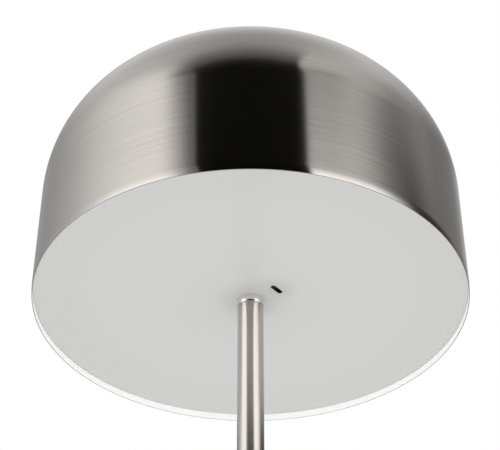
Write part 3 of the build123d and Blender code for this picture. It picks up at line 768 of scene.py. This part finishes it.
class LAMP_OT_collars(bpy.types.Operator):
    """Turns the collar under the diffuser, which tapers to the pole, and the collar at the pole's foot"""

    bl_idname = "lamp.collars"
    bl_label = "Collars"

    def execute(self, context):
        shape = context.scene.lamp_shape
        nickel = materials()["brushed_nickel"]
        radius, low, high = reach("diffuser_collar")
        outline = rounded([
            (shape.hole_radius, low), (POLE_RADIUS, low), (radius, low + shape.collar_taper),
            (radius, high), (shape.hole_radius, high),
        ], shape.rim_break)
        wall_from = POLE_RADIUS - shape.hole_radius + math.hypot(radius - POLE_RADIUS, shape.collar_taper)
        mesh = turned_mesh("diffuser_collar_ring", outline, shape.small_segments, nickel,
                           materials()["satin_nickel"], wall_from)
        piece("diffuser_collar_ring", mesh, LAMP_BODY, "brushed_nickel", "diffuser_collar")
        radius, low, high = reach("base_collar")
        outline = rounded([
            (POLE_RADIUS, low), (radius, low), (radius, high - shape.collar_bevel),
            (radius - shape.collar_bevel, high), (POLE_RADIUS, high),
        ], 2 * shape.edge_break)
        mesh = turned_mesh("base_collar_ring", outline, shape.small_segments, nickel)
        piece("base_collar_ring", mesh, LAMP_BODY, "brushed_nickel", "base_collar")
        return {"FINISHED"}


class LAMP_OT_base(bpy.types.Operator):
    """Turns the base's pressed cover"""

    bl_idname = "lamp.base"
    bl_label = "Base"

    def execute(self, context):
        shape = context.scene.lamp_shape
        radius, low, high = reach("base_cover")
        centre = (radius - shape.base_edge, high - shape.base_edge)
        outline = [
            (shape.hole_radius, high - shape.base_sheet),
            (shape.hole_radius, high),
            *arc(centre, shape.base_edge, math.pi / 2, 0, 16),
            (radius, low + shape.edge_break),
            (radius - shape.edge_break, low),
            (radius - shape.base_sheet, low),
            *arc(centre, shape.base_edge - shape.base_sheet, 0, math.pi / 2, 16),
        ]
        mesh = turned_mesh("base_cover_shell", outline, shape.segments, materials()["brushed_nickel"])
        piece("base_cover_shell", mesh, LAMP_BODY, "brushed_nickel", "base_cover")
        return {"FINISHED"}


class LAMP_OT_feet(bpy.types.Operator):
    """Moulds one rubber foot with a gripping ring and sets copies of it under the base"""

    bl_idname = "lamp.feet"
    bl_label = "Feet"

    def execute(self, context):
        shape = context.scene.lamp_shape
        low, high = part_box("rubber_feet")
        radius = shape.foot_radius
        centre = (radius - shape.foot_edge, low.z + shape.foot_edge)
        groove = low.z + shape.foot_edge / 2
        groove_outside, groove_inside, draft = 0.66 * radius, 0.38 * radius, 0.04 * radius
        outline = [
            (0.0, high.z),
            (radius, high.z),
            *arc(centre, shape.foot_edge, 0, -math.pi / 2, 6),
            (groove_outside, low.z),
            (groove_outside - draft, groove),
            (groove_inside + draft, groove),
            (groove_inside, low.z),
            (0.0, low.z),
        ]
        rubber = materials()["black_rubber"]
        foot = turned_mesh("rubber_foot", outline, shape.small_segments // 2, rubber)
        mesh = evaluated_mesh(placed("rubber_foot", foot), trees()["copies"], {
            "Count": shape.foot_count, "Circle Radius": high.y - radius, "Start Angle": math.pi / 2,
            "Finish": rubber,
        })
        piece("rubber_foot_ring", outward(mesh), LAMP_BODY, "black_rubber", "rubber_feet")
        return {"FINISHED"}


class LAMP_OT_finial(bpy.types.Operator):
    """Turns the finial and its washer on top of the shade"""

    bl_idname = "lamp.finial"
    bl_label = "Finial"

    def execute(self, context):
        shape = context.scene.lamp_shape
        nickel = materials()["brushed_nickel"]
        radius, low, high = reach("finial_washer")
        outline = rounded([
            (shape.hole_radius, low), (radius, low), (radius, high), (shape.hole_radius, high),
        ], shape.edge_break)
        mesh = turned_mesh("finial_washer_ring", outline, shape.small_segments, nickel)
        piece("finial_washer_ring", mesh, LAMP_BODY, "brushed_nickel", "finial_washer")
        radius, low, high = reach("finial")
        hole_end = low + shape.finial_depth
        centre = (radius - shape.finial_edge, high - shape.finial_edge)
        outline = [
            (0.0, high),
            *arc(centre, shape.finial_edge, math.pi / 2, 0, 12),
            (radius, low + shape.edge_break),
            (radius - shape.edge_break, low),
            (ROD_RADIUS, low),
            (ROD_RADIUS, hole_end),
            (0.0, hole_end),
        ]
        mesh = turned_mesh("finial_cap", outline, shape.small_segments, nickel)
        piece("finial_cap", mesh, LAMP_BODY, "brushed_nickel", "finial")
        return {"FINISHED"}


class LAMP_OT_solids(bpy.types.Operator):
    """Gives the pieces whose solids are already right their finishes"""

    bl_idname = "lamp.solids"
    bl_label = "Moulded and inner pieces"

    def execute(self, context):
        for part in frame["record"]["subparts"]:
            solid = NODES[part["node"]]
            solid.data.materials.clear()
            solid.data.materials.append(materials()[part["material_slot"]])
        return {"FINISHED"}


# Stage

SENSOR_WIDTH = 36.0
FLOOR_SIDES = 128
# The pole's rows of lights, each with its direction from the front and half its width as the pole sees it,
# in degrees, and its share of the glow's power
POLE_LIGHTS = [
    ("left glow", -60, 24, 1.0),
    ("right glow", 48, 25, 1.0),
    ("left edge glow", -130, 42, 0.10),
    ("right edge glow", 125, 48, 0.13),
]
# Where one light of a row ends and the next begins, from the pole's face
POLE_LIGHT_STEPS = [step * MM for step in (8, 14, 22, 34, 50, 75, 110, 150, 200)]
# How far the lower and upper edge of the fill lights lie below the rim as it sees them, in degrees
FILL_FALL = (10, 1)
# Light that matt pieces get from all round, and what the camera sees behind the lamp
EVEN_LEVEL = 0.75
BACKDROP_LEVEL = 1.0
# The studio that metal mirrors: a ceiling, and walls painted over it and each other by direction. Each has
# its level of light and its edges, where an edge begins and where it is full. Turn runs round the lamp from
# its front towards +X and rise is the elevation, both in degrees. Lean is turn with a multiple of rise, for a
# slanted edge. Front and side are shares of the direction towards -Y and +X.
LEAN_RISE = 4.0
CEILING_LEVEL = 0.545
STUDIO_LAYERS = [
    ("walls", 0.84, [("rise", 86, 58)]),
    ("left wall, lit", 1.39, [("turn", -120, -56), ("turn", -28, -48), ("rise", 66, 44)]),
    ("left wall, rear", 0.41, [("turn", -90, -150), ("turn", -180, -166), ("rise", 58, 40)]),
    ("right wall", 0.28, [("turn", 60, 100), ("turn", 180, 142), ("rise", 64, 40)]),
    ("right wall, side", 0.42, [("lean", 261, 270), ("turn", 84, 94), ("turn", 124, 106), ("rise", 58, 46)]),
    ("right wall, near", 0.63, [("turn", 27, 30), ("turn", 110, 56), ("rise", 60, 40)]),
    ("right shade", 0.37, [("turn", 27, 30), ("turn", 66, 44), ("rise", 43, 46), ("rise", 54, 48)]),
    ("right corner", 0.044, [("turn", 54, 80), ("turn", 176, 136), ("lean", 263, 257), ("rise", 46, 41)]),
    ("left low light", 2.35, [("turn", -100, -62), ("turn", -30, -46), ("rise", 39, 27)]),
    ("right low light", 2.35, [("turn", 27, 31), ("turn", 96, 62), ("rise", 42, 28)]),
    ("above the camera", 0.09, [("side", -0.60, -0.24), ("side", 0.31, 0.27), ("front", 0.06, 0.54)]),
    ("left gap", 0.24, [("side", -0.47, -0.36), ("side", 0.3, 0.2), ("front", 0.30, 0.50), ("rise", 22, 30)]),
    ("left shade", 0.1, [("turn", -27, -31), ("turn", -54, -40), ("rise", 43, 46.5), ("rise", 53, 48)]),
    ("camera's side", 0.004, [("side", -0.372, -0.362), ("turn", 32.0, 28.5), ("front", 0.43, 0.56)]),
]


class LAMP_OT_stage(bpy.types.Operator):
    """Sets up the camera, the pale floor and the white studio round the lamp"""

    bl_idname = "lamp.stage"
    bl_label = "Stage"

    def execute(self, context):
        stage = context.scene.lamp_stage
        camera = bpy.data.cameras.new("camera")
        camera.lens = stage.lens
        camera.sensor_width = SENSOR_WIDTH
        camera.shift_x = stage.camera_shift
        holder = placed("camera", camera)
        holder.location = (0, -stage.camera_back, RIM_LEVEL - stage.camera_drop)
        holder.rotation_euler = (math.pi / 2 + stage.camera_pitch, 0, 0)
        context.scene.camera = holder
        context.scene.view_settings.view_transform = "Standard"
        self.floor(stage)
        self.pole_lights(stage)
        self.fill_lights(stage)
        self.studio(context.scene)
        return {"FINISHED"}

    def floor(self, stage):
        """A pale floor and the soft light that washes it from above."""
        mesh = bpy.data.meshes.new("floor")
        work = bmesh.new()
        bmesh.ops.create_circle(work, cap_ends=True, radius=stage.floor_radius, segments=FLOOR_SIDES)
        work.to_mesh(mesh)
        work.free()
        placed("floor", mesh)
        material, tree, shader = new_material("pale floor paint", {"Roughness": 0.7})
        textured(tree, shader, tint=(grain(tree, 400 * MM), linear("#F2F2F1"), linear("#F5F5F4")))
        mesh.materials.append(material)
        light = bpy.data.lights.new("floor wash", "AREA")
        light.shape = "DISK"
        light.size = stage.wash_size
        light.energy = stage.wash_power
        wash = placed("floor wash", light)
        wash.location = (0, 0, stage.wash_height)
        wash.visible_camera = False
        wash.visible_glossy = False

    def pole_lights(self, stage):
        """Rows of small lights under the diffuser, wider further out, which the pole and collar mirror."""
        lit = bpy.data.collections.new("lit by the rows")
        for name in ("pole_upper_tube", "diffuser_collar_ring"):
            lit.objects.link(bpy.data.objects[name])
        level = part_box("diffuser")[0].z - stage.glow_drop
        for name, degrees, half, part in POLE_LIGHTS:
            turn = math.radians(degrees)
            start = POLE_RADIUS * Vector((math.sin(turn / 2), -math.cos(turn / 2)))
            ahead = Vector((math.sin(turn), -math.cos(turn)))
            for near, far in zip(POLE_LIGHT_STEPS, POLE_LIGHT_STEPS[1:]):
                middle = (near + far) / 2
                size = (2 * middle * math.tan(math.radians(half)), far - near)
                place = (*(start + middle * ahead), level)
                light = self.panel_light(name, size, place, (0, 0, turn), part * stage.glow_power)
                light.visible_diffuse = False
                light.light_linking.receiver_collection = lit

    def fill_lights(self, stage):
        """A ring of low lights, just under the rim's level, for the paint inside the rim and the diffuser."""
        lit = bpy.data.collections.new("lit by the ring")
        for name in ("dome_shade_shell", "diffuser_panel"):
            lit.objects.link(bpy.data.objects[name])
        step = 2 * math.pi / stage.fill_count
        width = 2 * stage.fill_distance * math.tan(step / 2)
        low, high = (RIM_LEVEL - stage.fill_distance * math.tan(math.radians(fall)) for fall in FILL_FALL)
        for i in range(stage.fill_count):
            turn = i * step
            ahead = Vector((math.sin(turn), -math.cos(turn)))
            place = (*(stage.fill_distance * ahead), (low + high) / 2)
            light = self.panel_light("fill light", (width, high - low), place, (math.pi / 2, 0, turn),
                                     stage.fill_power)
            light.visible_glossy = False
            light.light_linking.receiver_collection = lit

    def panel_light(self, name, size, place, turned, density):
        """A flat soft light that the camera doesn't see, with its power for a square metre."""
        light = bpy.data.lights.new(name, "AREA")
        light.shape = "RECTANGLE"
        light.size, light.size_y = size
        light.energy = density * size[0] * size[1]
        holder = placed(name, light)
        holder.location = place
        holder.rotation_euler = turned
        holder.visible_camera = False
        return holder

    def studio(self, scene):
        """White walls round the lamp with a dark gap on the camera's side, which the metal mirrors. Matt
        pieces get the same light from all round, and the camera sees plain white."""
        world = bpy.data.worlds.new("white studio")
        scene.world = world
        world.use_nodes = True
        world.cycles.sampling_method = "NONE"
        tree = world.node_tree
        tree.nodes.clear()
        direction = add_node(tree, "ShaderNodeTexCoord")
        part = add_node(tree, "ShaderNodeSeparateXYZ", {"Vector": direction.outputs["Generated"]})
        front = add_node(tree, "ShaderNodeMath", {0: part.outputs["Y"], 1: -1.0}, operation="MULTIPLY")
        azimuth = add_node(tree, "ShaderNodeMath", {0: part.outputs["X"], 1: front.outputs[0]},
                           operation="ARCTAN2")
        elevation = add_node(tree, "ShaderNodeMath", {0: part.outputs["Z"]}, operation="ARCSINE")
        turn, rise = (
            add_node(tree, "ShaderNodeMath", {0: node.outputs[0], 1: math.degrees(1)}, operation="MULTIPLY")
            for node in (azimuth, elevation)
        )
        lean = add_node(tree, "ShaderNodeMath", {0: rise.outputs[0], 1: LEAN_RISE, 2: turn.outputs[0]},
                        operation="MULTIPLY_ADD")
        measures = {
            "turn": turn.outputs[0], "rise": rise.outputs[0], "lean": lean.outputs[0],
            "front": front.outputs[0], "side": part.outputs["X"],
        }
        light = CEILING_LEVEL
        for name, level, edges in STUDIO_LAYERS:
            cover = 1.0
            for measure, outside, inside in edges:
                edge = add_node(tree, "ShaderNodeMapRange", {
                    "Value": measures[measure], "From Min": outside, "From Max": inside,
                }, interpolation_type="SMOOTHSTEP")
                covered = add_node(tree, "ShaderNodeMath", {0: cover, 1: edge.outputs[0]},
                                   operation="MULTIPLY")
                cover = covered.outputs[0]
            painted = add_node(tree, "ShaderNodeMix", {"Factor": cover, MIX_A: light, MIX_B: level},
                               data_type="FLOAT", label=name)
            light = painted.outputs[MIX_RESULT]
        path = add_node(tree, "ShaderNodeLightPath").outputs
        lit = add_node(tree, "ShaderNodeMix", {
            "Factor": path["Is Glossy Ray"], MIX_A: EVEN_LEVEL, MIX_B: light,
        }, data_type="FLOAT")
        seen = add_node(tree, "ShaderNodeMix", {
            "Factor": path["Is Camera Ray"], MIX_A: lit.outputs[MIX_RESULT], MIX_B: BACKDROP_LEVEL,
        }, data_type="FLOAT")
        sky = add_node(tree, "ShaderNodeBackground", {
            "Color": linear("#FFFFFF"), "Strength": seen.outputs[MIX_RESULT],
        })
        add_node(tree, "ShaderNodeOutputWorld", {"Surface": sky.outputs["Background"]})


# Panel and registration


class LAMP_PT_panel(bpy.types.Panel):
    """Lists the lamp's sizes, finishes, light and pieces"""

    bl_idname = "LAMP_PT_panel"
    bl_label = "Dome-shade floor lamp"
    bl_space_type = "VIEW_3D"
    bl_region_type = "UI"
    bl_category = "Lamp"

    def draw(self, context):
        for group in (context.scene.lamp_shape, context.scene.lamp_finish, context.scene.lamp_stage):
            box = self.layout.box()
            for name in group.__annotations__:
                box.prop(group, name)
        for step in STEPS:
            self.layout.operator(step.bl_idname)


STEPS = (
    LAMP_OT_solids,
    LAMP_OT_dome_shade,
    LAMP_OT_diffuser,
    LAMP_OT_pole,
    LAMP_OT_collars,
    LAMP_OT_base,
    LAMP_OT_feet,
    LAMP_OT_finial,
    LAMP_OT_stage,
)
GROUPS = {"lamp_shape": LampShape, "lamp_finish": LampFinish, "lamp_stage": LampStage}


def register():
    """Adds the classes and the lamp's settings."""
    for name, group in GROUPS.items():
        bpy.utils.register_class(group)
        setattr(bpy.types.Scene, name, PointerProperty(type=group))
    for step in STEPS:
        bpy.utils.register_class(step)
    bpy.utils.register_class(LAMP_PT_panel)


def unregister():
    """Takes away what register added."""
    bpy.utils.unregister_class(LAMP_PT_panel)
    for step in reversed(STEPS):
        bpy.utils.unregister_class(step)
    for name, group in GROUPS.items():
        delattr(bpy.types.Scene, name)
        bpy.utils.unregister_class(group)


def main():
    """Makes every piece and the stage."""
    register()
    for step in STEPS:
        group, name = step.bl_idname.split(".")
        getattr(getattr(bpy.ops, group), name)()


if __name__ == "__main__":
    main()
